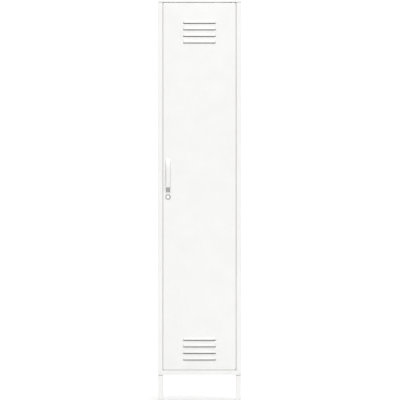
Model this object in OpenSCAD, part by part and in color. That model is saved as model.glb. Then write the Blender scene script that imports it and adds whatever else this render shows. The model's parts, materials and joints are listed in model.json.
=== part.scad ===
// Slim sheet-steel locker cabinet: one full-height door with pressed louvres, a moulded pull and a
// cam lock, four loose shelves on clips, and four square legs. Millimetres, +Z up, front towards -Y.
// The origin is on the floor, under the middle of the outer box.

/* [Overall] */
// Width over the side panels
body_w = 384; // [340:1:460]
// Depth of the body, front frame to rear edge
body_d = 380; // [340:1:460]
// Height from the floor to the top
total_h = 1850; // [1750:10:1950]
// Height of the legs with their pads and glides
leg_h = 115; // [90:1:140]

/* [Sheet and frame] */
// Thickness of the sheet steel
sheet = 0.8; // [0.6:0.1:1]
// Centreline radius of each fold
fold_r = 1.2; // [1:0.1:1.5]
// Width of each front stile
stile_w = 22; // [20:1:26]
// Height of the front rail under the door
rail_h = 23; // [21:1:30]
// Height of the cap's front edge over the door
cap_h = 10; // [9:0.5:14]
// Depth from the front to the door stop
stop_depth = 17.5; // [17.5:0.5:20]

/* [Door] */
// Gap down each side of the door
side_gap = 1.5; // [1.4:0.1:3]
// Gap over the door
top_gap = 2.5; // [2.3:0.1:3]
// Gap under the door
bottom_gap = 1.3; // [1.2:0.1:3]
// Thickness of the door
door_t = 16; // [15:0.5:16]
// Radius of the door's corners
door_corner_r = 6; // [4:0.5:8]
// Hinge axis in from the door's edge
hinge_in = 14; // [13:0.5:16]
// Hinge axis behind the door's face
hinge_back = 5.5; // [5.2:0.1:5.6]

/* [Louvres] */
// Louvres in each vent
louvre_count = 4; // [3:1:6]
// Width of a louvre
louvre_w = 152; // [120:1:180]
// Distance from one louvre to the next
louvre_pitch = 30.3; // [26:0.1:34]
// Height of a louvre's hood
louvre_h = 16; // [12:1:18]
// How far a hood stands out
louvre_out = 6; // [4:0.5:8]
// Height of the slit under each hood
louvre_slit = 3.4; // [2:0.1:4]
// Lip of the upper vent's top louvre, below the top
upper_vent_drop = 106; // [95:1:140]
// Lip of the lower vent's bottom louvre, above the floor
lower_vent_rise = 187; // [175:1:220]

/* [Handle and lock] */
// Handle and lock centre in from the body's side
handle_in = 46.5; // [44:0.5:50]
// Height of the handle's top end
handle_top = 1117; // [1050:1:1180]
// Length of the handle
handle_len = 159; // [150:1:180]
// Width of the handle's foot
handle_foot_w = 27.5; // [26:0.5:30]
// Width of the handle's front
handle_front_w = 18.4; // [16:0.2:20]
// How far the handle stands out
handle_out = 20; // [16:0.5:24]
// Height of the lock's centre
lock_z = 939; // [900:1:945]
// Diameter of the lock's head
lock_head_d = 24; // [20:0.5:26]

/* [Shelves] */
// Number of shelves
shelf_count = 4; // [1:1:4]
// Distance from slot to slot in the shelf rails
slot_pitch = 34; // [34:1:34]
// Slots from one shelf to the next
slots_per_shelf = 10; // [9:1:10]
// Depth of a shelf's turned-down edges
shelf_lip = 18; // [14:1:22]

/* [Legs] */
// Side of the square leg tube
leg_w = 22; // [18:1:24]
// Legs in from the body's outer faces
leg_inset = 1; // [0:0.5:3]
// Wall of the leg tube
leg_wall = 1.5; // [1.2:0.1:2]
// Height of the glide under each leg
glide_h = 4; // [3:0.5:8]
// Thickness of the rubber pad over each leg
pad_t = 1.6; // [1.2:0.1:3]

/* [Wall fixing] */
// Distance between the two wall-fixing holes
wall_hole_spacing = 220; // [150:10:250]
// Diameter of the wall-fixing holes
wall_hole_d = 7; // [6:0.5:8]
// Height of the wall-fixing holes below the top
wall_hole_drop = 62; // [50:1:90]

/* [Hidden] */

$fn = 48;
fold_steps = 4;                       // facets in each fold
touch = 0.01;                         // overlap that joins the pieces of one solid
cut = 1;                              // how far a cutter runs past the face it cuts
bore_fit = 0.1;                       // radial clearance of a fastener in its hole

half_w = body_w / 2;
front = -(body_d - handle_out) / 2;   // the body's front face
back = front + body_d;                // the body's rear face
inner_w = half_w - sheet;             // the side walls' inner faces
jamb = half_w - stile_w;              // the stiles' inner edges
base_z = leg_h;                       // the body's underside
floor_z = base_z + rail_h;            // the locker's floor
cap_z = total_h - cap_h;              // underside of the cap
stop_w = 14;                          // width of each door-stop flange
stop_up = 9;                          // height of the stops over and under the door
flange_w = 18;                        // width of the inward flanges
tray_flange_w = 28;                   // width of the flange under the base tray
top_flange_in = [26, 4];              // the top flanges' ends, in from front and back
low_flange_in = 2;                    // the bottom flanges' ends, in from front and back
stile_top = cap_z - 1;                // the stiles end just under the cap

door_l = -jamb + side_gap;
door_r = jamb - side_gap;
door_b = floor_z + bottom_gap;
door_top = cap_z - top_gap;
door_w = door_r - door_l;
door_h = door_top - door_b;
door_mid = (door_b + door_top) / 2;
hem_w = 12;                           // width of the door's turned-in hem
hinge_x = door_r - hinge_in;
hinge_y = front + hinge_back;
pin_r = 2.5;
pin_in = 9;                           // how far each pin runs into the door
pin_head = [3.7, 1.5];                // radius and thickness
bush_r = 4;
bush_bore_r = pin_r + 0.05;
bush_l = 8;                           // how far each bush runs into the door
bush_flange = [4.8, 0.8];             // radius and thickness
hinge_t = 2;                          // thickness of the hinge plates
hinge_plate_x = [-14, 12];            // the hinge plates' ends, from the hinge axis
hinge_plate_d = 17;                   // depth of the hinge plates' rear edges
door_bracket_t = 1.5;
door_bracket_in = 22;                 // how far the door's brackets run in from the hinge axis
// The stiles' flanges: behind the door at the lock side, and clear of its swing at the hinge side.
hinge_stop_depth = hinge_back + norm([hinge_in, door_t - hinge_back]) + 2;
// The stops over and under the door end short of the hinge, where the door's back edge swings in.
stop_x = [-jamb + stop_w + 1, hinge_x - 16];

grip_x = -half_w + handle_in;         // centre of the handle and the lock
handle_bottom = handle_top - handle_len;
lip_z = handle_bottom + 25;           // the hood's lower lip
crest = 0.6;                          // where the hood stands out furthest, as a share of its length
lip_dip = 0.6;                        // how much the hood falls away again towards its lip
hood_steps = 16;
hood_wall = 2.6;
hood_depth = 32;                      // how far the finger space runs up under the hood
pocket_rim = 2.5;                     // rim under the finger pocket
cheek = [11, 6, 3.2, 2.2];            // height of the cheeks beside the pocket, from the lip down
cheek_z = [-1, -9, -19, -25];         // where, from the lip
handle_corner_r = 5;
cup_depth = 12;
cup_wall = 1.5;
cup_flange = 5;
handle_screw_z = [handle_top - 30, handle_top - 80];
handle_screw_r = 2;

lock_head_t = 3;
lock_len = 20;                        // the housing's reach behind the door's face
barrel_r = 9;
plug_r = 6.5;
plug_fit = 0.06;                      // radial clearance of the plug in its bore
plug_sunk = 0.4;                      // the plug's face lies below the rim
keyway = [1.6, 8.4, 13];              // width, height and depth
drive = 7;                            // side of the square drive for the cam
cam_reach = 36;
cam_r = 8;
cam_t = 2;
cam_tip = [7, 4, 3];                  // half widths of the cam's tip, and its bevel
lock_nut_size = [23, 4];              // across flats and height
cam_screw_head = [9, 2.6];            // across flats and height

panel_y = back - 2 * sheet - 0.05;    // the rear panel's inner face
panel_half = inner_w - 0.8;
rib_x = [62, 72, 88, 98];             // section of the rear panel's ribs
rib_depth = 4;
rib_z = [floor_z + 40, cap_z - 40];
rivet_r = 1.6;
rivet_head = [3, 1.2];                // radius and thickness
rivet_z = [for (i = [0:5]) base_z + 60 + i * (cap_z - base_z - 120) / 5];

rail_x = inner_w - 5;                 // the shelf rails' inner faces
rail_y = [front + 60, back - 80];     // the rails' centres
rail_w = 22;
rail_t = 1;
rail_low = floor_z + 12;
rail_high = cap_z - 30;
slot = [8, 9, 4];
slot_up = 6;                          // slots above the underside of their shelf
clip_t = 1.2;
clip_w = 16;
clip_tab = 13;                        // how far the clips' tabs reach under the shelf
clip_up = 12;
hook_w = 8;
hook_out = 3.2;                       // how far the hooks reach out through the slots
hook_t = [1.6, 1.8];                  // thickness of a hook's tongue and of its neck
hook_drop = 4.8;
shelf_half = rail_x - clip_t - 2;     // half the shelf's width
shelf_front = front + 30;
shelf_back = back - 12;
shelf_hem = [10, 12];                 // width of the turned-in hems at the sides, front and back

leg_x = half_w - leg_inset - leg_w / 2;
leg_y = [front + leg_inset + leg_w / 2, back - leg_inset - leg_w / 2];
leg_top = base_z - pad_t;
leg_corner_r = 1.6;
foot_w = leg_w - 0.6;                 // side of the pads and glides
glide_stem = 10;                      // how far a glide runs up into its leg
stud_r = 4;
stud_fit = 0.3;
stud_up = 16;                         // the studs above the body's underside
stud_in = 3;                          // the studs inside the legs
bracket_t = 2.5;
bracket_w = 34;
leg_nut = [13, 6.5];                  // across flats and height
mitre_gap = 0.4;
screw_r = 2.5;                        // screws that join the panels
screw_head = [3.4, 4.4, 2.6];         // outer and inner radius, and height
side_nut = [8, 4];                    // across flats and height
screw_y = [front + 90, (front + back) / 2, back - 90];
side_screw_x = half_w - 8;

magnet_x = -jamb + 5;
magnet_z = [base_z + 400, cap_z - 400];
magnet_half = [3.4, 12.4];            // half the magnets' width and height
magnet_screw_up = 18;                 // screws above and below each magnet
magnet_screw_r = 1.4;
magnet_gap = 0.4;                     // between a magnet and the closed door
housing_y = front + stop_depth + sheet;
housing_d = 10;
housing_x = [-6, 5];                  // the housings' sides, from the magnets' centre
housing_half = 24;                    // half the housings' height
bumper = [3.2, 1.2];                  // radius and thickness
stiffener_x = 25;
stiffener_t = 1;
stiffener_half = [26, 40];            // half width of the hat and of its brims
vent_clear = 30;                      // from a vent to the stiffener's end

// ---- folded sheet ----------------------------------------------------------------------------
function unit(v) = v / norm(v);
function left_of(v) = [-v[1], v[0]];
function turned(v, a) = [v[0] * cos(a) - v[1] * sin(a), v[0] * sin(a) + v[1] * cos(a)];

// One fold of a strip: the points at offset o from the centreline, round the corner b.
function fold(a, b, c, o) =
    let (d1 = unit(b - a), d2 = unit(c - b),
         s = sign(d1[0] * d2[1] - d1[1] * d2[0]),
         turn = acos(max(-1, min(1, d1 * d2))),
         centre = b - d1 * fold_r * tan(turn / 2) + s * left_of(d1) * fold_r)
    [for (i = [0:fold_steps])
        centre - s * left_of(turned(d1, s * turn * i / fold_steps)) * (fold_r - s * o)];

// One long side of a folded strip, at offset o to the left of its centreline.
function strip_side(p, o) =
    let (last = len(p) - 1)
    concat([p[0] + left_of(unit(p[1] - p[0])) * o],
           [for (i = [1:last - 1]) each fold(p[i - 1], p[i], p[i + 1], o)],
           [p[last] + left_of(unit(p[last] - p[last - 1])) * o]);

function reversed(p) = [for (i = [len(p) - 1:-1:0]) p[i]];

// A strip of sheet folded along the centreline p.
module folded_strip(p, t = sheet)
    polygon(concat(strip_side(p, t / 2), reversed(strip_side(p, -t / 2))));

// ---- helpers ---------------------------------------------------------------------------------
// Extrudes an XZ outline from y0 to y0 + d.
module in_xz(y0, d) translate([0, y0 + d, 0]) rotate([90, 0, 0]) linear_extrude(d) children();

// Extrudes a YZ outline from x0 to x0 + l.
module in_yz(x0, l) translate([x0, 0, 0]) rotate([90, 0, 90]) linear_extrude(l) children();

module box(lo, hi) translate(lo) cube(hi - lo);

module rounded(w, h, r) {
    square([w - 2 * r, h], center = true);
    square([w, h - 2 * r], center = true);
    for (x = [-1, 1], y = [-1, 1]) translate([x * (w / 2 - r), y * (h / 2 - r)]) circle(r);
}

// A cylinder along +Y from y0.
module rod_y(x, y0, z, r, l) translate([x, y0, z]) rotate([-90, 0, 0]) cylinder(r = r, h = l);

module hex_y(x, y0, z, across, l)
    translate([x, y0, z]) rotate([-90, 0, 0]) cylinder(r = across / sqrt(3), h = l, $fn = 6);

module hex_z(x, y, z0, across, l)
    translate([x, y, z0]) cylinder(r = across / sqrt(3), h = l, $fn = 6);

module at_side_screws() for (s = [-1, 1], y = screw_y) translate([s * side_screw_x, y, 0]) children();

module at_legs() for (x = [-leg_x, leg_x], y = leg_y) translate([x, y, 0]) children();

// ---- body ------------------------------------------------------------------------------------
// Plan of a side panel, left hand, with its last flange turned into the doorway at `depth`.
function side_path(depth) =
    let (s = sheet / 2)
    [[-half_w + flange_w, back - s], [-half_w + s, back - s], [-half_w + s, front + s],
     [-jamb - s, front + s], [-jamb - s, front + depth + s],
     [-jamb - s + stop_w, front + depth + s]];

module side_panel(depth) {
    difference() {
        translate([0, 0, base_z]) linear_extrude(stile_top - base_z) folded_strip(side_path(depth));
        // the jamb stands on the base tray, and the stile meets the rail in a mitre
        box([-inner_w, front + sheet + touch, base_z - cut], [0, front + 2 * stop_depth, floor_z]);
        in_xz(front - cut, sheet + 2 * cut)
            polygon([[-inner_w, base_z - cut], [-inner_w, base_z + sheet],
                     [-jamb - mitre_gap / 2, floor_z], [0, floor_z], [0, base_z - cut]]);
        for (z = rivet_z) rod_y(-side_screw_x, back - sheet - cut, z, rivet_r + bore_fit, sheet + 2 * cut);
    }
    // top of the side wall with its flange, under the cap
    box([-half_w, front + stop_depth, stile_top - touch], [-inner_w, back - flange_w, cap_z]);
    difference() {
        box([-half_w, front + top_flange_in[0], cap_z - sheet],
            [-half_w + flange_w, back - top_flange_in[1], cap_z]);
        screw_holes(cap_z - sheet);
    }
    // bottom flange, under the base tray
    difference() {
        box([-half_w + touch, front + low_flange_in, base_z],
            [-half_w + flange_w, back - low_flange_in, base_z + sheet]);
        screw_holes(base_z);
        stud_holes(base_z);
    }
}

// Clearance holes for the screws and leg studs through a sheet whose underside is at z.
module screw_holes(z) at_side_screws()
    translate([0, 0, z - cut]) cylinder(r = screw_r + bore_fit, h = sheet + 2 * cut);

module stud_holes(z) at_legs()
    translate([0, 0, z - cut]) cylinder(r = stud_r + stud_fit, h = bracket_t + 2 * cut);

module left_side_panel() color("white") difference() {
    window = magnet_half + [0.6, 0.6];
    y0 = front + stop_depth - cut;
    side_panel(stop_depth);
    // windows and screw holes in the stop flange for the magnets
    for (z = magnet_z) {
        box([magnet_x - window[0], y0, z - window[1]],
            [magnet_x + window[0], y0 + sheet + 2 * cut, z + window[1]]);
        for (s = [-1, 1])
            rod_y(magnet_x, y0, z + s * magnet_screw_up, magnet_screw_r + bore_fit, sheet + 2 * cut);
    }
}

module right_side_panel() color("white") mirror([1, 0, 0]) side_panel(hinge_stop_depth);

// Rear panel with two pressed stiffening ribs, closed at both ends.
module back_panel() color("white") difference() {
    y = panel_y + sheet / 2;
    low = base_z + 2 * sheet + 0.1;
    high = cap_z - sheet - 0.1;
    right = [[rib_x[0], y], [rib_x[1], y - rib_depth], [rib_x[2], y - rib_depth], [rib_x[3], y]];
    left = [for (i = [3:-1:0]) [-right[i][0], right[i][1]]];
    union() {
        box([-panel_half, panel_y, low], [panel_half, panel_y + sheet, rib_z[0]]);
        translate([0, 0, rib_z[0] - touch]) linear_extrude(rib_z[1] - rib_z[0] + 2 * touch)
            folded_strip(concat([[-panel_half, y]], left, right, [[panel_half, y]]));
        box([-panel_half, panel_y, rib_z[1]], [panel_half, panel_y + sheet, high]);
        for (s = [0, 1], z = [rib_z[0] - touch, rib_z[1] + touch - sheet])
            mirror([s, 0, 0]) translate([0, 0, z]) linear_extrude(sheet)
                polygon([[rib_x[0], panel_y + touch], [rib_x[1], panel_y - rib_depth],
                         [rib_x[2], panel_y - rib_depth], [rib_x[3], panel_y + touch]]);
    }
    for (s = [-1, 1]) {
        rod_y(s * wall_hole_spacing / 2, panel_y - cut, total_h - wall_hole_drop, wall_hole_d / 2,
              sheet + 2 * cut);
        for (z = rivet_z) rod_y(s * side_screw_x, panel_y - cut, z, rivet_r + bore_fit, sheet + 2 * cut);
    }
}

// Countersunk rivets, flush at the back, with their heads inside.
module back_rivets() color("gainsboro") for (s = [-1, 1], z = rivet_z) {
    rod_y(s * side_screw_x, panel_y - touch, z, rivet_r, back - panel_y + touch);
    rod_y(s * side_screw_x, panel_y - rivet_head[1], z, rivet_head[0], rivet_head[1]);
}

// Cap: a tray upside down, with an inward lip that rests on the side panels.
module top_cap() color("white") {
    difference() {
        box([-half_w, front, cap_z], [half_w, back, total_h]);
        box([-inner_w, front + sheet, cap_z - cut], [inner_w, back - sheet, total_h - sheet]);
    }
    difference() {
        box([-inner_w - touch, front + sheet - touch, cap_z],
            [inner_w + touch, back - sheet + touch, cap_z + sheet]);
        box([-inner_w + flange_w, front + stop_depth + sheet, cap_z - cut],
            [inner_w - flange_w, back - flange_w, cap_z + 2 * cut]);
        screw_holes(cap_z);
        translate([hinge_x, hinge_y, cap_z - cut]) cylinder(r = pin_r, h = sheet + 2 * cut);
    }
    box([stop_x[0], front + stop_depth, cap_z - stop_up],
        [stop_x[1], front + stop_depth + sheet, cap_z + touch]);
}

module base_tray() color("white") {
    side = inner_w - 0.2;
    low = base_z + sheet;
    rear = panel_y - 0.25;
    difference() {
        union() {
            // floor
            box([-side, front + sheet + 0.1, floor_z - sheet], [side, rear, floor_z]);
            box([-jamb + mitre_gap, front + touch, floor_z - sheet], [jamb - mitre_gap, front + 2, floor_z]);
            // front rail, mitred at both ends
            in_xz(front, sheet)
                polygon([[-inner_w + mitre_gap, low], [inner_w - mitre_gap, low],
                         [jamb - mitre_gap / 2, floor_z], [-jamb + mitre_gap / 2, floor_z]]);
            // side and rear edges
            for (s = [0, 1]) mirror([s, 0, 0])
                box([side - sheet, front + 2, low], [side, rear, floor_z - touch]);
            box([-side, rear - sheet, low], [side, rear, floor_z - touch]);
            // flange all round underneath
            difference() {
                box([-side, front + touch, low], [side, rear, low + sheet]);
                box([-side + tray_flange_w, front + tray_flange_w, low - cut],
                    [side - tray_flange_w, rear - tray_flange_w, low + 2 * cut]);
                for (s = [0, 1]) mirror([s, 0, 0])
                    box([side - 2, front - cut, low - cut], [half_w, front + 2, low + 2 * cut]);
            }
            // stop under the door
            box([stop_x[0], front + stop_depth, floor_z - touch],
                [stop_x[1], front + stop_depth + sheet, floor_z + stop_up]);
        }
        stud_holes(low);
        screw_holes(low);
        translate([hinge_x, hinge_y, floor_z - sheet - cut]) cylinder(r = pin_r, h = sheet + 2 * cut);
    }
}

// ---- shelves ---------------------------------------------------------------------------------
function shelf_z(i) = floor_z + i * slots_per_shelf * slot_pitch;

module shelf_rail(left, y) {
    s = left ? -1 : 1;
    x = s * (rail_x + rail_t / 2);
    half = (rail_w - rail_t) / 2;
    p = [[s * inner_w, y - half], [x, y - half], [x, y + half], [s * inner_w, y + half]];
    slots = floor((rail_high - floor_z) / slot_pitch);
    color("white") difference() {
        translate([0, 0, rail_low]) linear_extrude(rail_high - rail_low) folded_strip(p, rail_t);
        for (i = [1:slots - 1])
            translate([s * rail_x, y, floor_z + i * slot_pitch - shelf_lip + slot_up])
                cube(slot, center = true);
    }
}

// A hook-in shelf clip at the left rail, with its tab's upper face at z.
module shelf_clip(y, z) {
    x = -rail_x;
    hook_z = z + slot_up + 0.4;
    box([x, y - clip_w / 2, z - clip_t], [x + clip_t, y + clip_w / 2, z + clip_up]);
    box([x, y - clip_w / 2, z - clip_t], [x + clip_tab, y + clip_w / 2, z]);
    // the hook: out through the slot, then down behind the rail
    box([x - hook_out, y - hook_w / 2, hook_z - hook_t[1]], [x + touch, y + hook_w / 2, hook_z]);
    box([x - hook_out, y - hook_w / 2, hook_z - hook_drop],
        [x - hook_out + hook_t[0], y + hook_w / 2, hook_z]);
}

module shelf_clips() color("silver")
    for (i = [1:shelf_count], y = rail_y, s = [0, 1])
        mirror([s, 0, 0]) shelf_clip(y, shelf_z(i) - shelf_lip);

module shelf(i) {
    z = shelf_z(i);
    low = z - shelf_lip;
    color("white") difference() {
        box([-shelf_half, shelf_front, low], [shelf_half, shelf_back, z]);
        box([-shelf_half + sheet, shelf_front + sheet, low + sheet],
            [shelf_half - sheet, shelf_back - sheet, z - sheet]);
        box([-shelf_half + shelf_hem[0], shelf_front + shelf_hem[1], low - cut],
            [shelf_half - shelf_hem[0], shelf_back - shelf_hem[1], low + 2 * cut]);
    }
}

// ---- legs ------------------------------------------------------------------------------------
module leg(x, y) color("white") translate([x, y, 0]) difference() {
    bore_w = leg_w - 2 * leg_wall;
    translate([0, 0, glide_h]) linear_extrude(leg_top - glide_h) rounded(leg_w, leg_w, leg_corner_r);
    translate([0, 0, glide_h - cut])
        linear_extrude(leg_top - glide_h - stud_in + cut) rounded(bore_w, bore_w, 0.6);
    translate([0, 0, leg_top - 2 * stud_in]) cylinder(r = stud_r, h = 2 * stud_in + cut);
}

module leg_studs() color("silver") at_legs()
    translate([0, 0, leg_top - stud_in]) cylinder(r = stud_r, h = stud_in + pad_t + stud_up);

module leg_pads() color("dimgray") at_legs() translate([0, 0, leg_top]) difference() {
    linear_extrude(pad_t) rounded(foot_w, foot_w, leg_corner_r);
    translate([0, 0, -cut]) cylinder(r = stud_r + stud_fit, h = pad_t + 2 * cut);
}

module foot_glides() color("whitesmoke") at_legs() {
    linear_extrude(glide_h) rounded(foot_w, foot_w, leg_corner_r);
    translate([0, 0, glide_h - touch])
        linear_extrude(glide_stem) rounded(leg_w - 2 * leg_wall, leg_w - 2 * leg_wall, 0.6);
}

module corner_brackets() color("silver") for (s = [0, 1], i = [0, 1]) mirror([s, 0, 0]) {
    right = inner_w - 1.3;
    y0 = i == 0 ? front + 2.2 : panel_y - 1.4 - bracket_w;
    z0 = base_z + 2 * sheet;
    difference() {
        box([right - bracket_w, y0, z0], [right, y0 + bracket_w, z0 + bracket_t]);
        stud_holes(z0);
    }
}

module leg_nuts() color("silver") at_legs() difference() {
    hex_z(0, 0, base_z + 2 * sheet + bracket_t, leg_nut[0], leg_nut[1]);
    translate([0, 0, base_z]) cylinder(r = stud_r, h = 2 * stud_up);
}

// ---- fasteners between the panels ------------------------------------------------------------
// A pan-head screw pointing up, its head against a face at z.
module screw_up(z, l) {
    translate([0, 0, z - screw_head[2]]) cylinder(r1 = screw_head[0], r2 = screw_head[1], h = screw_head[2]);
    translate([0, 0, z - touch]) cylinder(r = screw_r, h = l);
}

module nut_ring(z) difference() {
    hex_z(0, 0, z, side_nut[0], side_nut[1]);
    translate([0, 0, z - cut]) cylinder(r = screw_r, h = side_nut[1] + 2 * cut);
}

module cap_screws() color("silver") at_side_screws() screw_up(cap_z - sheet, 8);
module cap_nuts() color("silver") at_side_screws() nut_ring(cap_z + sheet);
module base_screws() color("silver") at_side_screws() screw_up(base_z, 9);
module base_nuts() color("silver") at_side_screws() nut_ring(base_z + 2 * sheet);

// ---- hinges ----------------------------------------------------------------------------------
top_plate_z = cap_z + sheet;
bottom_plate_z = floor_z - sheet - hinge_t;

module hinge_plate(z) color("silver") difference() {
    box([hinge_x + hinge_plate_x[0], front + sheet + 0.2, z],
        [hinge_x + hinge_plate_x[1], front + hinge_plate_d, z + hinge_t]);
    translate([hinge_x, hinge_y, z - cut]) cylinder(r = pin_r, h = hinge_t + 2 * cut);
}

module hinge_plate_top() hinge_plate(top_plate_z);
module hinge_plate_bottom() hinge_plate(bottom_plate_z);

// A pin from z0 to z1, with its head's underside at z1.
module hinge_pin(z0, z1) {
    translate([0, 0, z0]) cylinder(r = pin_r, h = z1 - z0 + touch);
    translate([0, 0, z1]) cylinder(r = pin_head[0], h = pin_head[1]);
}

module hinge_pin_top() color("silver")
    translate([hinge_x, hinge_y, 0]) hinge_pin(door_top - pin_in, top_plate_z + hinge_t);

module hinge_pin_bottom() color("silver")
    translate([hinge_x, hinge_y, 0]) mirror([0, 0, 1]) hinge_pin(-door_b - pin_in, -bottom_plate_z);

// A flanged bush pressed down into a face at z.
module hinge_bush(z) difference() {
    union() {
        translate([0, 0, z - bush_l]) cylinder(r = bush_r, h = bush_l + touch);
        translate([0, 0, z]) cylinder(r = bush_flange[0], h = bush_flange[1]);
    }
    translate([0, 0, z - bush_l - cut]) cylinder(r = bush_bore_r, h = bush_l + 4 * cut);
}

module hinge_bush_top() color("whitesmoke")
    translate([hinge_x, hinge_y, 0]) hinge_bush(door_top);

module hinge_bush_bottom() color("whitesmoke")
    translate([hinge_x, hinge_y, 0]) mirror([0, 0, 1]) hinge_bush(-door_b);

// A plate that backs the door's end where the bush goes through.
module door_hinge_bracket(z) color("silver") difference() {
    box([hinge_x - door_bracket_in, front + sheet, z],
        [door_r - door_corner_r, front + door_t - sheet, z + door_bracket_t]);
    translate([hinge_x, hinge_y, z - cut]) cylinder(r = bush_r, h = door_bracket_t + 2 * cut);
}

module door_hinge_bracket_top() door_hinge_bracket(door_top - sheet - door_bracket_t);
module door_hinge_bracket_bottom() door_hinge_bracket(door_b + sheet);

// ---- magnetic catches ------------------------------------------------------------------------
// Each housing sits behind the stop flange and holds its magnet in the flange's window.
module magnet_housings() color("whitesmoke") for (z = magnet_z) difference() {
    box([magnet_x + housing_x[0], housing_y, z - housing_half],
        [magnet_x + housing_x[1], housing_y + housing_d, z + housing_half]);
    box([magnet_x - magnet_half[0], housing_y - cut, z - magnet_half[1]],
        [magnet_x + magnet_half[0], housing_y + housing_d - 2, z + magnet_half[1]]);
    for (s = [-1, 1])
        rod_y(magnet_x, housing_y - cut, z + s * magnet_screw_up, magnet_screw_r + bore_fit,
              housing_d + 2 * cut);
}

module magnets() color("dimgray") for (z = magnet_z)
    box([magnet_x - magnet_half[0], front + door_t + magnet_gap, z - magnet_half[1]],
        [magnet_x + magnet_half[0], housing_y + housing_d - 2, z + magnet_half[1]]);

module magnet_screws() color("silver") for (z = magnet_z, s = [-1, 1]) {
    rod_y(magnet_x, housing_y - sheet, z + s * magnet_screw_up, magnet_screw_r, sheet + housing_d + touch);
    rod_y(magnet_x, housing_y + housing_d, z + s * magnet_screw_up, 2 * magnet_screw_r, 1.6);
}

// ---- door ------------------------------------------------------------------------------------
function vent_lips() = concat(
    [for (i = [0:louvre_count - 1]) total_h - upper_vent_drop - i * louvre_pitch],
    [for (i = [0:louvre_count - 1]) lower_vent_rise + i * louvre_pitch]);

// YZ outline of a hood over a lip at z = 0: half a cosine wave, taken in by `inset`.
function hood_swell(z) = (1 + cos(180 * z)) / 2;
module hood_outline(inset)
    polygon(concat([[sheet, 0]],
                   [for (k = [0:0.1:1])
                       [-(louvre_out - inset) * hood_swell(k), (louvre_h - inset) * k]],
                   [[sheet, louvre_h - inset]]));

module louvre_hood() difference() {
    in_yz(-louvre_w / 2, louvre_w) hood_outline(0);
    in_yz(-louvre_w / 2 + sheet, louvre_w - 2 * sheet) {
        hood_outline(sheet);
        translate([-louvre_out + sheet, -cut]) square([louvre_out, cut + touch]);
    }
}

module door_skin() color("white") {
    difference() {
        in_xz(front, door_t) translate([0, door_mid]) rounded(door_w, door_h, door_corner_r);
        in_xz(front + sheet, door_t - 2 * sheet)
            translate([0, door_mid]) rounded(door_w - 2 * sheet, door_h - 2 * sheet, door_corner_r - sheet);
        in_xz(front + door_t - sheet - cut, sheet + 2 * cut)
            translate([0, door_mid]) rounded(door_w - 2 * hem_w, door_h - 2 * hem_w, 3);
        for (z = vent_lips())
            box([-louvre_w / 2 + sheet, front - cut, z - louvre_slit],
                [louvre_w / 2 - sheet, front + sheet + touch, z + louvre_h - sheet]);
        // finger pocket, handle screws and lock
        box([grip_x - handle_front_w / 2 - 0.8, front - cut, handle_bottom + pocket_rim - 1],
            [grip_x + handle_front_w / 2 + 0.8, front + sheet + cut, lip_z + hood_depth - 4]);
        for (z = handle_screw_z)
            rod_y(grip_x, front - cut, z, handle_screw_r + 2 * bore_fit, sheet + 2 * cut);
        rod_y(grip_x, front - cut, lock_z, barrel_r + 2 * bore_fit, sheet + 2 * cut);
        for (z = [door_b - cut, door_top - sheet - cut])
            translate([hinge_x, hinge_y, z]) cylinder(r = bush_r, h = sheet + 2 * cut);
    }
    for (z = vent_lips()) translate([0, front, z]) louvre_hood();
}

// Hat section down the inside of the door, between the vents.
module door_stiffener() color("white") {
    y0 = front + sheet + stiffener_t / 2;
    y1 = front + door_t - 2.5;
    vent_h = louvre_count * louvre_pitch + vent_clear;
    low = lower_vent_rise + vent_h;
    high = total_h - upper_vent_drop - vent_h;
    translate([stiffener_x, 0, low]) linear_extrude(high - low)
        folded_strip([[-stiffener_half[1], y0], [-stiffener_half[0], y0], [-stiffener_half[0], y1],
                      [stiffener_half[0], y1], [stiffener_half[0], y0], [stiffener_half[1], y0]],
                     stiffener_t);
}

module door_bumpers() color("dimgray") for (z = [door_b + 60, door_mid, door_top - 60])
    rod_y(door_l + hem_w / 2, front + door_t, z, bumper[0], bumper[1]);

// ---- handle ----------------------------------------------------------------------------------
// How far the front of the hood stands out, as a share, from its top end (0) to its lip (1).
function hood_rise(u) = u < crest ? 1 - pow((crest - u) / crest, 2) : 1 - lip_dip * pow(u - crest, 2);

function hood_curve(inset, from, to) =
    [for (i = [0:hood_steps])
        let (u = from + (to - from) * i / hood_steps)
        [-handle_out * hood_rise(u) + inset, handle_top + (lip_z - handle_top) * u]];

module handle_pull() color("white") translate([grip_x, front, 0]) difference() {
    half = handle_foot_w / 2;
    intersection() {
        in_yz(-half, handle_foot_w)
            polygon(concat([[0, handle_bottom], [0, handle_top]], hood_curve(0, 0, 1),
                           [for (i = [0:3]) [-cheek[i], lip_z + cheek_z[i]]]));
        // sides with draft: wide at the foot, narrow at the front
        translate([0, 0, handle_bottom]) linear_extrude(handle_len)
            polygon([[-half, 0], [half, 0], [handle_front_w / 2, -handle_out - 0.1],
                     [-handle_front_w / 2, -handle_out - 0.1]]);
        in_xz(-handle_out - cut, handle_out + cut)
            translate([0, handle_top - handle_len / 2])
                rounded(handle_foot_w, handle_len, handle_corner_r);
    }
    // finger space up under the hood
    in_yz(-handle_front_w / 2 + 1.2, handle_front_w - 2.4)
        polygon(concat([[cut, lip_z - 1.5], [cut, lip_z + hood_depth]],
                       hood_curve(hood_wall, 1 - hood_depth / (handle_top - lip_z), 1),
                       [[-handle_out + hood_wall, lip_z - 1.5]]));
    // pocket below the lip
    box([-handle_front_w / 2, -handle_out - cut, handle_bottom + pocket_rim],
        [handle_front_w / 2, cut, lip_z - 1]);
    for (z = handle_screw_z) rod_y(0, -9, z, handle_screw_r, 10);
}

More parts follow.
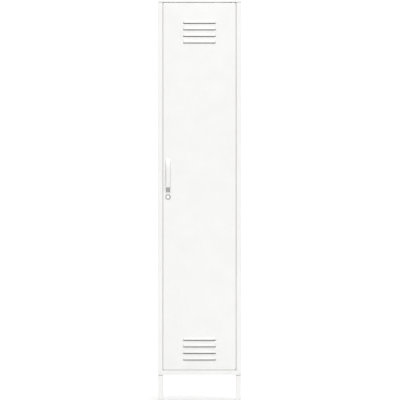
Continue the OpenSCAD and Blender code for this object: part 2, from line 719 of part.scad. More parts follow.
module handle_finger_cup() color("silver") translate([grip_x, front + sheet, 0]) {
    low = handle_bottom + pocket_rim;
    high = lip_z + hood_depth - 5;
    half = handle_front_w / 2;
    difference() {
        union() {
            box([-half - cup_wall, 0, low - cup_wall], [half + cup_wall, cup_depth, high + cup_wall]);
            box([-half - cup_flange, 0, low - cup_flange], [half + cup_flange, cup_wall, high + cup_flange]);
        }
        box([-half, -cut, low], [half, cup_depth - cup_wall, high]);
    }
}

module handle_screws() color("silver") for (z = handle_screw_z) {
    rod_y(grip_x, front - 8, z, handle_screw_r, 8 + sheet + touch);
    rod_y(grip_x, front + sheet, z, 1.9 * handle_screw_r, 2.4);
}

// ---- lock ------------------------------------------------------------------------------------
module lock_housing() color("silver") difference() {
    union() {
        rod_y(grip_x, front - lock_head_t, lock_z, lock_head_d / 2, lock_head_t);
        rod_y(grip_x, front - touch, lock_z, barrel_r, lock_len);
    }
    rod_y(grip_x, front - lock_head_t - cut, lock_z, plug_r + plug_fit, lock_head_t + lock_len + 2 * cut);
}

module lock_nut() color("silver") difference() {
    hex_y(grip_x, front + sheet, lock_z, lock_nut_size[0], lock_nut_size[1]);
    rod_y(grip_x, front, lock_z, barrel_r, 10);
}

module lock_plug() color("silver") difference() {
    union() {
        face = lock_head_t - plug_sunk;
        rod_y(grip_x, front - face, lock_z, plug_r, lock_len + face + 0.3);
        // square drive for the cam
        box([grip_x - drive / 2, front + lock_len + 0.2, lock_z - drive / 2],
            [grip_x + drive / 2, front + lock_len + 2.6, lock_z + drive / 2]);
    }
    box([grip_x - keyway[0] / 2, front - lock_head_t - cut, lock_z - keyway[1] / 2],
        [grip_x + keyway[0] / 2, front - lock_head_t - cut + keyway[2], lock_z + keyway[1] / 2]);
    rod_y(grip_x, front + lock_len - 5, lock_z, 2, 20);
}

module lock_cam() color("silver") difference() {
    y0 = front + lock_len + 0.5;
    hole = drive / 2 + 0.05;
    union() {
        rod_y(grip_x, y0, lock_z, cam_r, cam_t);
        in_xz(y0, cam_t) translate([grip_x, lock_z])
            polygon([[-cam_r, 0], [cam_r, 0], [cam_tip[0], -cam_reach + cam_tip[2]], [cam_tip[1], -cam_reach],
                     [-cam_tip[1], -cam_reach], [-cam_tip[0], -cam_reach + cam_tip[2]]]);
    }
    box([grip_x - hole, y0 - cut, lock_z - hole], [grip_x + hole, y0 + cam_t + cut, lock_z + hole]);
}

module cam_screw() color("silver") {
    rod_y(grip_x, front + lock_len - 4.8, lock_z, 2, 7.6);
    hex_y(grip_x, front + lock_len + 2.7, lock_z, cam_screw_head[0], cam_screw_head[1]);
}

left_side_panel();
right_side_panel();
back_panel();
top_cap();
base_tray();
shelf_rail(true, rail_y[0]);  // shelf_rail_front_left
shelf_rail(false, rail_y[0]);  // shelf_rail_front_right
shelf_rail(true, rail_y[1]);  // shelf_rail_rear_left
shelf_rail(false, rail_y[1]);  // shelf_rail_rear_right
shelf_clips();
for (i = [1:shelf_count]) shelf(i);
leg(-leg_x, leg_y[0]);  // leg_front_left
leg(leg_x, leg_y[0]);  // leg_front_right
leg(-leg_x, leg_y[1]);  // leg_rear_left
leg(leg_x, leg_y[1]);  // leg_rear_right
leg_studs();
leg_pads();
foot_glides();
corner_brackets();
leg_nuts();
cap_screws();
cap_nuts();
base_screws();
base_nuts();
back_rivets();
hinge_plate_top();
hinge_plate_bottom();
hinge_pin_top();
hinge_pin_bottom();
magnet_housings();
magnets();
magnet_screws();
door_skin();
door_stiffener();
hinge_bush_top();
hinge_bush_bottom();
door_hinge_bracket_top();
door_hinge_bracket_bottom();
door_bumpers();
handle_pull();
handle_finger_cup();
handle_screws();
lock_housing();
lock_nut();
lock_plug();
lock_cam();
cam_screw();
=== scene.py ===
import json
import math

import bmesh
import bpy
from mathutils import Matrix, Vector


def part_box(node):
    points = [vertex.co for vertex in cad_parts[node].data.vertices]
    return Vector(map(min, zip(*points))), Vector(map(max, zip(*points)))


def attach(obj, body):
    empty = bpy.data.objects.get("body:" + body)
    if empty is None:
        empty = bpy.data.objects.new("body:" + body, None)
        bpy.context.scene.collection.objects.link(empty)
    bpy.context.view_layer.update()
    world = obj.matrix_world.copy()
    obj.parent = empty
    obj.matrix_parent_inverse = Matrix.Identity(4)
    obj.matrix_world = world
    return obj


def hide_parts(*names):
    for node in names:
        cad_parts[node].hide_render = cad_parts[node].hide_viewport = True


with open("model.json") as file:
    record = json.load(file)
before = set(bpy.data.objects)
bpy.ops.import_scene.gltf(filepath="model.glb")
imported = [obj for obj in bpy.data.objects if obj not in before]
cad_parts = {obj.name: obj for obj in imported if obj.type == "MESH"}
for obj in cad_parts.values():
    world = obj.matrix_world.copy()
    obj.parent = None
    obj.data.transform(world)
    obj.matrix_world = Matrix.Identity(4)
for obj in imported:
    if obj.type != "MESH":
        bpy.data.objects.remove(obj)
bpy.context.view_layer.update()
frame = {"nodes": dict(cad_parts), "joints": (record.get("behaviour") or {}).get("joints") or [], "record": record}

# A slim white steel locker cabinet, in metres: X to the right, -Y out of the door, Z up. The folded
# sheets of the door, the cap and the shelves, the pull, the lock's housing and the screws of the
# cap and the base are meshed here. The other CAD nodes keep their shape and get softened edges.
# Every surface has a procedural material.

MM = 0.001
SHEET = 0.8 * MM
FOLD = 1.6 * MM                       # outer radius of a fold
FOLD_STEPS = 5                        # facets round a fold
PLAIN_EDGE = 0.25 * MM                # width of an edge's softening, where nothing else is said
OVERCUT = 1 * MM                      # how far a cutter runs past the surfaces that it opens
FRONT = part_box("right_side_panel")[0].y
HINGE = Vector(next(j for j in frame["joints"] if j["name"] == "door_hinge")["pos_m"])
LOCK = Vector(next(j for j in frame["joints"] if j["name"] == "lock_turn")["pos_m"])

# ---- materials -------------------------------------------------------------------------------

NOISE_SPAN = (0.3, 0.7)               # the noise values that a ramp or a range runs between


class Surface:
    """A Principled material under construction, with its texture coordinates in the row's frame."""

    def __init__(self, name, **inputs):
        self.material = bpy.data.materials.new(name)
        self.material.use_nodes = True
        self.nodes = self.material.node_tree.nodes
        self.links = self.material.node_tree.links
        self.shader = self.nodes["Principled BSDF"]
        self.place = self.nodes.new("ShaderNodeTexCoord").outputs["Object"]
        self.height = None
        for key, value in inputs.items():
            self.shader.inputs[key.replace("_", " ").title()].default_value = value

    def noise(self, scale, detail, stretch=(1, 1, 1)):
        """Noise of about `scale` waves to the metre."""
        mapping = self.nodes.new("ShaderNodeMapping")
        mapping.inputs["Scale"].default_value = stretch
        self.links.new(self.place, mapping.inputs["Vector"])
        node = self.nodes.new("ShaderNodeTexNoise")
        node.inputs["Scale"].default_value = scale
        node.inputs["Detail"].default_value = detail
        self.links.new(mapping.outputs["Vector"], node.inputs["Vector"])
        return node.outputs["Fac"]

    def cells(self, scale):
        """A random value for each cell of a Voronoi pattern, about `scale` cells to the metre."""
        node = self.nodes.new("ShaderNodeTexVoronoi")
        node.inputs["Scale"].default_value = scale
        self.links.new(self.place, node.inputs["Vector"])
        separate = self.nodes.new("ShaderNodeSeparateColor")
        self.links.new(node.outputs["Color"], separate.inputs["Color"])
        return separate.outputs["Red"]

    def colour(self, factor, low, high):
        """The base colour runs from low to high with factor."""
        ramp = self.nodes.new("ShaderNodeValToRGB")
        for element, position, rgb in zip(ramp.color_ramp.elements, NOISE_SPAN, (low, high)):
            element.position = position
            element.color = (*rgb, 1)
        self.links.new(factor, ramp.inputs["Fac"])
        self.links.new(ramp.outputs["Color"], self.shader.inputs["Base Color"])

    def gloss(self, factor, low, high):
        """The roughness runs from low to high with factor."""
        spread = self.nodes.new("ShaderNodeMapRange")
        spread.inputs["From Min"].default_value = NOISE_SPAN[0]
        spread.inputs["From Max"].default_value = NOISE_SPAN[1]
        spread.inputs["To Min"].default_value = low
        spread.inputs["To Max"].default_value = high
        self.links.new(factor, spread.inputs["Value"])
        self.links.new(spread.outputs["Result"], self.shader.inputs["Roughness"])

    def relief(self, factor, depth, strength=1.0):
        """Adds a bump of the given depth in metres on top of the ones before it."""
        bump = self.nodes.new("ShaderNodeBump")
        bump.inputs["Strength"].default_value = strength
        bump.inputs["Distance"].default_value = depth
        self.links.new(factor, bump.inputs["Height"])
        if self.height is not None:
            self.links.new(self.height, bump.inputs["Normal"])
        self.height = bump.outputs["Normal"]
        self.links.new(self.height, self.shader.inputs["Normal"])


def powder_coat():
    """Satin white powder coat: faint orange peel over sheet that is very slightly wavy."""
    s = Surface("white_powder_coat")
    s.colour(s.noise(14, 3), (0.845, 0.843, 0.826), (0.868, 0.867, 0.852))
    s.gloss(s.noise(55, 4), 0.36, 0.46)
    s.relief(s.noise(3.5, 1), 0.35 * MM, 0.6)
    s.relief(s.noise(620, 2), 0.03 * MM, 0.8)
    return s.material


def zinc():
    """Bright zinc plate, with a faint crystalline patchiness and drawn marks."""
    s = Surface("zinc_plate", metallic=1.0)
    s.colour(s.cells(420), (0.60, 0.61, 0.63), (0.74, 0.745, 0.75))
    s.gloss(s.noise(260, 4), 0.30, 0.44)
    s.relief(s.noise(500, 3, (1, 1, 0.12)), 0.012 * MM)
    return s.material


def nickel():
    """Satin nickel on the lock's housing, turned round its own axis."""
    s = Surface("satin_nickel", metallic=1.0)
    s.colour(s.noise(90, 2), (0.40, 0.395, 0.385), (0.46, 0.455, 0.445))
    s.gloss(s.noise(900, 3), 0.60, 0.70)
    s.relief(s.noise(1400, 2), 0.006 * MM)
    return s.material


def chrome():
    """Polished chrome on the lock's plug, with light wear."""
    s = Surface("polished_chrome", metallic=1.0)
    s.colour(s.noise(120, 2), (0.78, 0.78, 0.78), (0.86, 0.86, 0.86))
    s.gloss(s.noise(700, 5), 0.10, 0.22)
    s.relief(s.noise(1600, 2, (1, 1, 0.2)), 0.004 * MM)
    return s.material


def rubber():
    """Matt black rubber with a slightly chalky bloom."""
    s = Surface("black_rubber")
    s.colour(s.noise(80, 4), (0.018, 0.018, 0.018), (0.045, 0.045, 0.044))
    s.gloss(s.noise(200, 3), 0.62, 0.82)
    s.relief(s.noise(900, 3), 0.05 * MM)
    return s.material


def nylon():
    """Off-white nylon with a fine moulded grain."""
    s = Surface("white_nylon")
    s.colour(s.noise(40, 2), (0.76, 0.755, 0.735), (0.80, 0.795, 0.78))
    s.gloss(s.noise(150, 3), 0.42, 0.55)
    s.relief(s.noise(1300, 2), 0.015 * MM)
    return s.material


def moulded_white():
    """The pull's white plastic: smoother than the paint, with a fine spark-eroded grain."""
    s = Surface("moulded_white_plastic")
    s.colour(s.noise(30, 2), (0.825, 0.825, 0.815), (0.845, 0.845, 0.835))
    s.gloss(s.noise(90, 3), 0.30, 0.36)
    s.relief(s.noise(1900, 2), 0.01 * MM)
    return s.material


def moulded_grey():
    """Pale grey plastic inside the pull's finger pocket."""
    s = Surface("moulded_grey_plastic")
    s.colour(s.noise(60, 3), (0.83, 0.825, 0.805), (0.87, 0.865, 0.845))
    s.gloss(s.noise(120, 3), 0.45, 0.60)
    s.relief(s.noise(1100, 3), 0.02 * MM)
    return s.material


def ferrite():
    """Dull ceramic magnet with a grainy ground face."""
    s = Surface("ferrite", metallic=0.4)
    s.colour(s.noise(500, 4), (0.045, 0.045, 0.048), (0.10, 0.10, 0.105))
    s.gloss(s.noise(300, 3), 0.5, 0.7)
    s.relief(s.noise(800, 4), 0.04 * MM)
    return s.material


def studio_paper():
    """Pale matt paper under the cabinet, lit a little from beneath as on a lightbox."""
    s = Surface("studio_paper", roughness=0.9, emission_strength=0.2)
    s.colour(s.noise(2, 3), (0.93, 0.93, 0.93), (0.95, 0.95, 0.95))
    s.relief(s.noise(250, 3), 0.1 * MM, 0.3)
    return s.material


MATERIALS = {
    "white_steel": powder_coat(),
    "zinc_steel": zinc(),
    "nickel_lock": nickel(),
    "chromed_lock": chrome(),
    "black_rubber": rubber(),
    "white_nylon": nylon(),
    "handle_plastic": moulded_white(),
    "grey_plastic": moulded_grey(),
    "magnet_ferrite": ferrite(),
}
SLOT_OF = {s["node"]: s["material_slot"] for s in frame["record"]["subparts"]}

# ---- mesh helpers ----------------------------------------------------------------------------


def link(bm, name):
    """A new object from bm, linked to the scene."""
    mesh = bpy.data.meshes.new(name)
    bm.to_mesh(mesh)
    bm.free()
    obj = bpy.data.objects.new(name, mesh)
    bpy.context.scene.collection.objects.link(obj)
    return obj


def orient(bm, outward):
    """Makes the normals agree, and turns them so that the largest face looks along outward."""
    bmesh.ops.recalc_face_normals(bm, faces=bm.faces)
    largest = max(bm.faces, key=lambda f: f.calc_area() * abs(f.normal.dot(outward)))
    if largest.normal.dot(outward) < 0:
        bmesh.ops.reverse_faces(bm, faces=bm.faces)


def realise(obj, sharp=35):
    """Applies the object's modifiers, and shades it smooth except at edges sharper than `sharp`."""
    graph = bpy.context.evaluated_depsgraph_get()
    graph.update()
    mesh = bpy.data.meshes.new_from_object(obj.evaluated_get(graph))
    obj.modifiers.clear()
    obj.data = mesh
    mesh.shade_smooth()
    mesh.set_sharp_from_angle(angle=math.radians(sharp))
    return obj


def solidify(obj):
    """Gives a surface the sheet's thickness, on the side away from its normals."""
    solid = obj.modifiers.new("thickness", "SOLIDIFY")
    solid.thickness = SHEET
    solid.offset = -1
    solid.use_even_offset = True


def bevel(obj, width, segments=2, angle=35):
    """Rounds the edges that turn by more than the angle in degrees."""
    edge = obj.modifiers.new("soft_edges", "BEVEL")
    edge.width = width
    edge.segments = segments
    edge.limit_method = "ANGLE"
    edge.angle_limit = math.radians(angle)


def cut(obj, cutter):
    """Takes the cutter's solid out of obj, for good."""
    boolean = obj.modifiers.new("cut", "BOOLEAN")
    boolean.operation = "DIFFERENCE"
    boolean.solver = "EXACT"
    boolean.object = cutter
    realise(obj)
    bpy.data.objects.remove(cutter)


def dress(obj, slot, body, *nodes):
    """Finish, body and CAD nodes of a new piece."""
    obj.data.materials.clear()
    obj.data.materials.append(MATERIALS[slot])
    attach(obj, body)
    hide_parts(*nodes)
    return obj


def bridge(bm, a, b):
    """Quads between two rings of vertices."""
    for i in range(len(a)):
        j = (i + 1) % len(a)
        bm.faces.new((a[i], a[j], b[j], b[i]))


def loft(bm, rings):
    """A closed form through rings of vertices, capped at both ends."""
    for a, b in zip(rings, rings[1:]):
        bridge(bm, a, b)
    bm.faces.new(rings[0])
    bm.faces.new(rings[-1])


def fill(bm, loops):
    """Fills the flat region between an outer loop of vertices and the loops of its holes."""
    edges = []
    for loop in loops:
        for i, a in enumerate(loop):
            b = loop[(i + 1) % len(loop)]
            edges.append(bm.edges.get((a, b)) or bm.edges.new((a, b)))
    bmesh.ops.triangle_fill(bm, use_beauty=True, use_dissolve=False, edges=edges)


def arc(start, end, steps):
    """Angles in radians from start to end, given in degrees."""
    return [math.radians(start + (end - start) * i / steps) for i in range(steps + 1)]


def rounded_loop(width, height, radius, steps=6):
    """Outline of a rounded rectangle round the origin, anticlockwise."""
    x, y = width / 2 - radius, height / 2 - radius
    corners = ((x, y, 0), (-x, y, 90), (-x, -y, 180), (x, -y, 270))
    return [(cx + radius * math.cos(a), cy + radius * math.sin(a))
            for cx, cy, start in corners for a in arc(start, start + 90, steps)]


def circle(x, y, radius, count):
    """Points round a circle, anticlockwise."""
    return [(x + radius * math.cos(2 * math.pi * i / count),
             y + radius * math.sin(2 * math.pi * i / count)) for i in range(count)]


def folded_edge(depth, hem):
    """(inset, depth) pairs down a pan's edge: a fold back, the return, and a fold in to the hem."""
    angles = arc(0, 90, FOLD_STEPS)
    front = [(FOLD * (1 - math.sin(a)), FOLD * (1 - math.cos(a))) for a in angles]
    rear = [(FOLD * (1 - math.cos(a)), depth - FOLD * (1 - math.sin(a))) for a in angles]
    return front + rear + [(hem, depth)]


def pan(bm, place, width, height, corner, edge, holes=()):
    """A flat sheet with folded edges all round. place(u, v, depth) gives a point's position."""
    least = 0.2 * MM                  # what is left of a corner's radius further in
    rings = []
    for inset, depth in edge:
        outline = rounded_loop(width - 2 * inset, height - 2 * inset, max(corner - inset, least))
        rings.append([bm.verts.new(place(u, v, depth)) for u, v in outline])
    for a, b in zip(rings, rings[1:]):
        bridge(bm, a, b)
    fill(bm, [rings[0], *holes])


def lathe(bm, profile, centre, count):
    """Turns a closed profile of (radius, y) round the Y axis through centre."""
    rings = []
    for radius, y in profile:
        rings.append([bm.verts.new((centre.x + u, centre.y + y, centre.z + v))
                      for u, v in circle(0, 0, radius, count)])
    for a, b in zip(rings, rings[1:] + rings[:1]):
        bridge(bm, a, b)


def upright_rod(name, centre, radius, length):
    """A plain vertical cylinder, used as a cutter."""
    bm = bmesh.new()
    bmesh.ops.create_cone(bm, cap_ends=True, segments=32, radius1=radius, radius2=radius,
                          depth=length)
    bmesh.ops.translate(bm, verts=bm.verts, vec=centre)
    return link(bm, name)


# ---- door ------------------------------------------------------------------------------------

LOUVRES = 4                           # in each of the two vents
LOUVRE_W, LOUVRE_H, LOUVRE_OUT = 152 * MM, 16 * MM, 6 * MM
LOUVRE_PITCH, LOUVRE_SLIT = 30.3 * MM, 3.4 * MM
LOUVRE_END = 6 * MM                   # length of the rounded-off ends
FIRST_DROP = 106 * MM                 # from the top of the cabinet to the highest lip
LAST_RISE = 187 * MM                  # from the floor to the lowest lip
TOP_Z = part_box("top_cap")[1].z
LIPS = [TOP_Z - FIRST_DROP - i * LOUVRE_PITCH for i in range(LOUVRES)]
LIPS += [LAST_RISE + i * LOUVRE_PITCH for i in range(LOUVRES)]

HANDLE_LO, HANDLE_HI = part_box("handle_pull")
LIP_Z = HANDLE_LO.z + 25 * MM         # the hood's lower lip
POCKET_W = 18.4 * MM                  # width of the pull's front and of its pocket


def swell(rho):
    """Share of a hood's full height at rho, from 0 in the middle of the lip to 1 at its foot."""
    return (1 + math.cos(math.pi * rho)) / 2


def hood(bm, lip):
    """A pressed hood with rounded ends, open below its lip. Returns the loop round its opening."""
    rows, ends = 10, 7                # facets from foot to lip, and round each end
    straight = LOUVRE_W / 2 - LOUVRE_END
    columns = [(-straight, a) for a in arc(-90, 0, ends)]
    columns += [(straight, a) for a in arc(0, 90, ends)]
    apex = {x: bm.verts.new((x, FRONT - LOUVRE_OUT, lip)) for x in (-straight, straight)}
    grid = []
    for x, a in columns:
        column = []
        for k in range(rows, 0, -1):
            rho = k / rows
            column.append(bm.verts.new((x + LOUVRE_END * rho * math.sin(a),
                                        FRONT - LOUVRE_OUT * swell(rho),
                                        lip + LOUVRE_H * rho * math.cos(a))))
        grid.append(column + [apex[x]])
    for left, right in zip(grid, grid[1:]):
        for k in range(rows):
            corners = [left[k], right[k], right[k + 1], left[k + 1]]
            bm.faces.new(list(dict.fromkeys(corners)))
    below = [bm.verts.new((s * LOUVRE_W / 2, FRONT, lip - LOUVRE_SLIT)) for s in (1, -1)]
    return [column[0] for column in grid] + below


def door_skin():
    """The door's pan, with its louvres and the holes for the lock, the pull and the bushes."""
    lock_hole, screw_hole, bush_hole = 9.2 * MM, 2.2 * MM, 4 * MM        # radii
    screw_drops = (30 * MM, 80 * MM)  # of the pull's screws below its top end
    pocket_foot, pocket_head = 1.5 * MM, 28 * MM      # over the pull's lower end and over its lip
    pocket_play, pocket_corner = 1.6 * MM, 2 * MM
    corner, hem = 6 * MM, 12 * MM
    lo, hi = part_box("door_skin")
    centre = (lo + hi) / 2
    bm = bmesh.new()
    flat = [circle(LOCK.x, LOCK.z, lock_hole, count=32)]
    flat += [circle(LOCK.x, HANDLE_HI.z - drop, screw_hole, count=16) for drop in screw_drops]
    low, high = HANDLE_LO.z + pocket_foot, LIP_Z + pocket_head
    flat.append([(LOCK.x + u, (low + high) / 2 + v)
                 for u, v in rounded_loop(POCKET_W + pocket_play, high - low, pocket_corner)])
    holes = [[bm.verts.new((x, FRONT, z)) for x, z in outline] for outline in flat]
    holes += [hood(bm, lip) for lip in LIPS]
    pan(bm, lambda u, v, d: (centre.x + u, FRONT + d, centre.z + v), hi.x - lo.x, hi.z - lo.z,
        corner, folded_edge(hi.y - FRONT, hem), holes)
    orient(bm, Vector((0, -1, 0)))
    skin = link(bm, "pressed_door_skin")
    solidify(skin)
    realise(skin)
    for z in (lo.z, hi.z):
        cut(skin, upright_rod("bush_hole", (HINGE.x, HINGE.y, z), bush_hole, length=6 * MM))
    return dress(skin, "white_steel", "door", "door_skin")


# ---- pull handle -----------------------------------------------------------------------------

HOOD_TOP = HANDLE_HI.z
HANDLE_OUT = FRONT - HANDLE_LO.y
FOOT_HALF = (HANDLE_HI.x - HANDLE_LO.x) / 2


def hood_height(z):
    """How far the pull's front stands out from the door at height z, over the lip."""
    crest, fall = 0.6, 0.6            # how far down it stands out most, and its drop after that
    u = (HOOD_TOP - z) / (HOOD_TOP - LIP_Z)
    share = 1 - ((crest - u) / crest) ** 2 if u < crest else 1 - fall * (u - crest) ** 2
    return HANDLE_OUT * share


def cheek_height(z):
    """How far the cheeks beside the pocket stand out at height z, under the lip."""
    least, rise, power = 2.2, 8.8, 1.7                # the first two in mm
    share = (z - HANDLE_LO.z) / (LIP_Z - HANDLE_LO.z)
    return (least + rise * share ** power) * MM


def foot_half(z):
    """Half the width at the door: the four corners are rounded."""
    r = 5 * MM                        # of those corners
    end = min(HOOD_TOP - z, z - HANDLE_LO.z)
    return FOOT_HALF if end >= r else FOOT_HALF - r + math.sqrt(max(0, r * r - (r - end) ** 2))


def handle_section(z, height):
    """(x, depth out of the door) round the section at z: draft sides, round shoulders, a crown."""
    shoulder, most = 3 * MM, 0.45     # radius of a shoulder, and its largest share of the height
    crown = 0.25 * MM                 # how much lower the front is at its edges
    mid_share, mid_drop = 0.35, 0.03 * MM             # one more point of the crown, further in
    foot = foot_half(z)
    draft = (FOOT_HALF - POCKET_W / 2) / HANDLE_OUT
    top = foot - draft * height
    r = min(shoulder, height * most)
    lean = math.degrees(math.atan(draft))
    half = [(foot, 0), (foot - draft * height * 0.5, height * 0.5 - r * 0.5)]
    for a in arc(lean, 90, 6):
        x, y = top - r * (1 - math.cos(a)), height - r * (1 - math.sin(a))
        half.append((x, y - crown * abs(x / top) ** 2))
    half += [(top * mid_share, height - mid_drop), (0, height)]
    return half + [(-x, y) for x, y in reversed(half[:-1])]


def handle_rows():
    """(z, height) of each section, from the top end down, closer together near that end."""
    above, crowding, below = 34, 1.25, 8              # sections over the lip, and under it
    least = 0.35 * MM                 # thickness of the top end
    upper = [HOOD_TOP - (HOOD_TOP - LIP_Z) * (i / above) ** crowding for i in range(above + 1)]
    lower = [LIP_Z + (HANDLE_LO.z - LIP_Z) * i / below for i in range(below + 1)]
    return ([(z, max(hood_height(z), least)) for z in upper]
            + [(z, cheek_height(z)) for z in lower])


def handle_pull():
    """The pull: a hood that turns into two cheeks beside the pocket, hollowed from below."""
    bm = bmesh.new()
    loft(bm, [[bm.verts.new((LOCK.x + x, FRONT - y, z)) for x, y in handle_section(z, height)]
              for z, height in handle_rows()])
    orient(bm, Vector((0, 1, 0)))
    pull = link(bm, "moulded_pull")
    cut(pull, finger_space())
    cut(pull, pocket_space())
    bevel(pull, 0.6 * MM, segments=3, angle=38)
    realise(pull, sharp=50)
    return dress(pull, "handle_plastic", "door", "handle_pull")


def finger_space():
    """Cutter: the hollow that runs up under the hood."""
    side_wall, front_wall, depth, r = 1.2 * MM, 2.6 * MM, 32 * MM, 1.5 * MM
    blunt, least = 6, 0.05            # how squarely its top end closes, and what stays open there
    steps = 10
    half = POCKET_W / 2 - side_wall
    rows = [LIP_Z - OVERCUT + (depth + OVERCUT) * i / steps for i in range(steps + 1)]
    bm = bmesh.new()
    rings = []
    for z in rows:
        reach = hood_height(max(z, LIP_Z)) - front_wall
        reach *= math.sqrt(max(least, 1 - (max(0, z - LIP_Z) / depth) ** blunt))
        outline = [(half, -OVERCUT), (half, reach - r)]
        outline += [(half - r * (1 - math.cos(a)), reach - r * (1 - math.sin(a)))
                    for a in arc(15, 90, 4)]
        outline += [(-x, y) for x, y in reversed(outline)]
        rings.append([bm.verts.new((LOCK.x + x, FRONT - y, z)) for x, y in outline])
    loft(bm, rings)
    bmesh.ops.recalc_face_normals(bm, faces=bm.faces)
    return link(bm, "finger_space")


def pocket_space():
    """Cutter: the pocket through the foot, below the lip."""
    sill, lip, corner = 2.5 * MM, 0.6 * MM, 1.6 * MM
    low, high = HANDLE_LO.z + sill, LIP_Z - lip
    outline = rounded_loop(POCKET_W, high - low, corner, steps=4)
    bm = bmesh.new()
    loft(bm, [[bm.verts.new((LOCK.x + u, y, (low + high) / 2 + v)) for u, v in outline]
              for y in (FRONT - HANDLE_OUT - OVERCUT, FRONT + OVERCUT)])
    bmesh.ops.recalc_face_normals(bm, faces=bm.faces)
    return link(bm, "pocket_space")


# ---- lock ------------------------------------------------------------------------------------

# The rim's inner edge, from its crest down to the bore, in mm: out from the bore, and in front of
# the door.
RIM_INSIDE = ((1.3, 3), (0.7, 2.7), (0.4, 1.9), (0, 1.7))


def lock_housing():
    """Threaded barrel with a raised, rolled rim round the plug."""
    lo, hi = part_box("lock_housing")
    head, barrel, bore = (hi.x - lo.x) / 2, 9 * MM, 6.56 * MM            # radii
    edge, roll, length = 1.2 * MM, 1.8 * MM, 20 * MM
    rim = [(head, 0), (head, -edge)]
    rim += [(head - roll * (1 - math.cos(a)), -edge - roll * math.sin(a)) for a in arc(15, 90, 6)]
    rim += [(bore + out * MM, -front * MM) for out, front in RIM_INSIDE]
    pitch, turns, groove, first_groove = 1 * MM, 18, 0.45 * MM, 19.6 * MM
    thread = []
    for i in range(turns):
        y = first_groove - i * pitch
        thread += [(barrel - groove, y), (barrel, y - pitch * 0.5)]
    bm = bmesh.new()
    lathe(bm, rim + [(bore, length)] + thread + [(barrel, 0)], LOCK, count=64)
    bmesh.ops.recalc_face_normals(bm, faces=bm.faces)
    housing = realise(link(bm, "turned_lock_housing"), sharp=40)
    return dress(housing, "nickel_lock", "door", "lock_housing")


# ---- cap and shelves -------------------------------------------------------------------------

CAP_H = 10 * MM                       # height of the cap's folded sides


def top_cap():
    """The cap's pan, with the strip under it that the door closes against."""
    corner, hem = 2.2 * MM, 18.3 * MM
    lo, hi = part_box("top_cap")
    centre = (lo + hi) / 2
    lip_z = hi.z - CAP_H
    bm = bmesh.new()
    pan(bm, lambda u, v, d: (centre.x + u, centre.y + v, hi.z - d), hi.x - lo.x, hi.y - lo.y,
        corner, folded_edge(hi.z - lip_z, hem))
    orient(bm, Vector((0, 0, 1)))
    cap = link(bm, "folded_cap")
    solidify(cap)
    realise(cap)
    join(cap, door_stop((lo.z, lip_z + SHEET / 2)))
    return dress(cap, "white_steel", "cabinet", "top_cap")


def door_stop(span):
    """The strip that the door closes against, over a height span."""
    panel_gap, hinge_gap, behind = 1 * MM, 16 * MM, 17.5 * MM            # behind: the door's face
    x = (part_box("left_side_panel")[1].x + panel_gap, HINGE.x - hinge_gap)
    y = (FRONT + behind, FRONT + behind + SHEET)
    bm = bmesh.new()
    bmesh.ops.create_cube(bm, size=1)
    for v in bm.verts:
        v.co = Vector((x[v.co.x > 0], y[v.co.y > 0], span[v.co.z > 0]))
    strip = link(bm, "door_stop")
    bevel(strip, PLAIN_EDGE)
    return realise(strip)


def join(obj, other):
    """Adds the other object's mesh to obj."""
    bm = bmesh.new()
    bm.from_mesh(obj.data)
    bm.from_mesh(other.data)
    bm.to_mesh(obj.data)
    bm.free()
    bpy.data.objects.remove(other)


def shelf(node):
    """A shelf's pan."""
    corner, hem = 2 * MM, 11 * MM
    lo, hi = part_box(node)
    centre = (lo + hi) / 2
    bm = bmesh.new()
    pan(bm, lambda u, v, d: (centre.x + u, centre.y + v, hi.z - d), hi.x - lo.x, hi.y - lo.y,
        corner, folded_edge(hi.z - lo.z, hem))
    orient(bm, Vector((0, 0, 1)))
    folded = link(bm, "folded_" + node)
    solidify(folded)
    return dress(realise(folded), "white_steel", "cabinet", node)


# ---- screws ----------------------------------------------------------------------------------

SCREW_HEAD = 4.4 * MM                 # radius
SCREW_PITCH = 100 * MM                # along the cabinet's depth


def button_screw(bm, x, y, z, shank):
    """A button-head screw, pointing up from a face at height z, with a hexagon socket."""
    thread, socket, count = 2.5 * MM, 2.4 * MM, 24
    head_h, rim_h, socket_h, taper = 2.6 * MM, 0.5 * MM, 1.7 * MM, 0.96

    def ring(radius, height, sides=0):
        """Vertices round a circle, or round a polygon with that many sides."""
        points = []
        for i in range(count):
            a = 2 * math.pi * i / count
            r = radius
            if sides:
                half = math.pi / sides
                r *= math.cos(half) / math.cos((a % (2 * half)) - half)
            points.append(bm.verts.new((x + r * math.cos(a), y + r * math.sin(a), z + height)))
        return points

    rings = [ring(thread, shank), ring(thread, 0), ring(SCREW_HEAD, 0), ring(SCREW_HEAD, -rim_h)]
    rings += [ring(socket + (SCREW_HEAD - socket) * math.cos(a),
                   -rim_h - (head_h - rim_h) * math.sin(a)) for a in arc(15, 78, 5)]
    rings.append(ring(socket, -head_h, sides=6))
    rings.append(ring(socket * taper, -head_h + socket_h, sides=6))
    loft(bm, rings)


def panel_screws(node, side_x, rows, z, shank):
    """The screws of the cap or of the base: one in each row at either side."""
    bm = bmesh.new()
    for x in (-side_x, side_x):
        for y in rows:
            button_screw(bm, x, y, z, shank)
    bmesh.ops.recalc_face_normals(bm, faces=bm.faces)
    return dress(realise(link(bm, "button_" + node), sharp=30), "zinc_steel", "cabinet", node)


# ---- carried-over CAD nodes ------------------------------------------------------------------


def soften(node, width):
    """Rounds a CAD node's edges: its triangles are merged into flat faces first."""
    obj = frame["nodes"][node]
    weld = obj.modifiers.new("weld", "WELD")
    weld.merge_threshold = 0.001 * MM
    flat = obj.modifiers.new("flat_faces", "DECIMATE")
    flat.decimate_type = "DISSOLVE"
    flat.angle_limit = math.radians(0.5)
    bevel(obj, width)
    even = obj.modifiers.new("even_shading", "WEIGHTED_NORMAL")
    even.weight = 80
    for face in obj.data.polygons:
        face.use_smooth = True


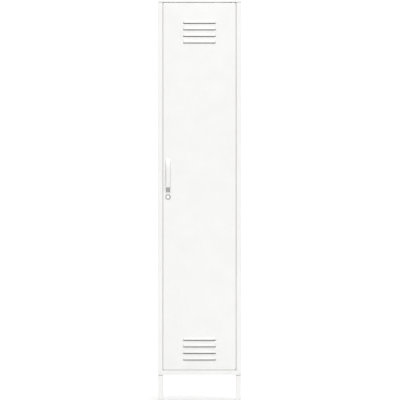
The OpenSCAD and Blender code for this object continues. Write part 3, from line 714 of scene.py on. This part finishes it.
EDGE_WIDTH = {"leg_pads": 0.3 * MM, "foot_glides": 0.6 * MM, "handle_finger_cup": 0.5 * MM,
              "magnet_housings": 0.5 * MM, "leg_nuts": 0.4 * MM, "lock_nut": 0.5 * MM}


def dress_cad_nodes(replaced):
    """Gives every CAD node its material, and softens those that stay visible."""
    for node, obj in frame["nodes"].items():
        for slot in obj.material_slots:
            slot.material = MATERIALS[SLOT_OF[node]]
        if node not in replaced:
            soften(node, EDGE_WIDTH.get(node, PLAIN_EDGE))


# ---- stage -----------------------------------------------------------------------------------

AMBIENT, BACKDROP = 0.46, 1.1         # the world's strength as a light, and as seen by the camera
FRAME_PIXELS = 400


def area_light(name, place, target, size, power):
    """A rectangular light at place, turned to its target and not seen itself."""
    data = bpy.data.lights.new(name, "AREA")
    data.shape = "RECTANGLE"
    data.size, data.size_y = size
    data.energy = power
    light = bpy.data.objects.new(name, data)
    light.location = place
    light.rotation_mode = "QUATERNION"
    light.rotation_quaternion = (Vector(target) - Vector(place)).to_track_quat("-Z", "Y")
    light.visible_camera = False
    bpy.context.scene.collection.objects.link(light)


def white_background(node, strength):
    """Makes a background node white, with this strength."""
    node.inputs["Color"].default_value = (1, 1, 1, 1)
    node.inputs["Strength"].default_value = strength
    return node.outputs["Background"]


def studio():
    """The floor, the world and the three lights."""
    bm = bmesh.new()
    bmesh.ops.create_circle(bm, cap_ends=True, segments=96, radius=3)
    floor = link(bm, "studio_floor")
    floor.data.materials.append(studio_paper())

    world = bpy.data.worlds.new("studio")
    world.use_nodes = True
    bpy.context.scene.world = world
    nodes, links = world.node_tree.nodes, world.node_tree.links
    mix = nodes.new("ShaderNodeMixShader")
    links.new(nodes.new("ShaderNodeLightPath").outputs["Is Camera Ray"], mix.inputs["Fac"])
    backdrop = nodes.new("ShaderNodeBackground")
    links.new(white_background(nodes["Background"], AMBIENT), mix.inputs[1])
    links.new(white_background(backdrop, BACKDROP), mix.inputs[2])
    links.new(mix.outputs["Shader"], nodes["World Output"].inputs["Surface"])

    middle = (0, 0, 1.0)
    area_light("key_front", (0.5, -4.4, 5.4), middle, size=(3.0, 2.0), power=185)
    area_light("front_fill", (0.3, -18.0, 1.8), middle, size=(8.0, 8.0), power=340)
    area_light("floor_wash", (0.0, 3.6, 3.0), (0, 1.4, 0), size=(4.0, 2.0), power=75)


def camera():
    """A very long lens, level with the cabinet's middle: the cabinet fills the frame's height."""
    data = bpy.data.cameras.new("camera")
    data.sensor_width = 36
    data.lens = 1000
    data.clip_end = 300
    cam = bpy.data.objects.new("camera", data)
    distance = (TOP_Z / 2) * data.lens / (data.sensor_width / 2)
    half_pixel = 0.5 * TOP_Z / FRAME_PIXELS           # puts the cabinet's middle at 199.5 pixels
    cam.location = (half_pixel, FRONT - distance, TOP_Z / 2)
    cam.rotation_euler = (math.radians(90), 0, 0)
    bpy.context.scene.collection.objects.link(cam)
    bpy.context.scene.camera = cam


# ---- scene -----------------------------------------------------------------------------------

bpy.context.scene.view_settings.view_transform = "Standard"
camera()
studio()
door_skin()
handle_pull()
lock_housing()
top_cap()
SHELVES = [n for n in sorted(frame["nodes"]) if n.removeprefix("shelf_").isdigit()]
for shelf_node in SHELVES:
    shelf(shelf_node)
SCREW_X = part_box("base_screws")[1].x - SCREW_HEAD
SCREW_ROWS = [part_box("base_screws")[0].y + SCREW_HEAD + i * SCREW_PITCH for i in range(3)]
panel_screws("base_screws", SCREW_X, SCREW_ROWS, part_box("left_side_panel")[0].z, shank=9 * MM)
panel_screws("cap_screws", SCREW_X, SCREW_ROWS, TOP_Z - CAP_H - SHEET, shank=8 * MM)
dress_cad_nodes(["door_skin", "handle_pull", "lock_housing", "top_cap", "base_screws",
                 "cap_screws", *SHELVES])
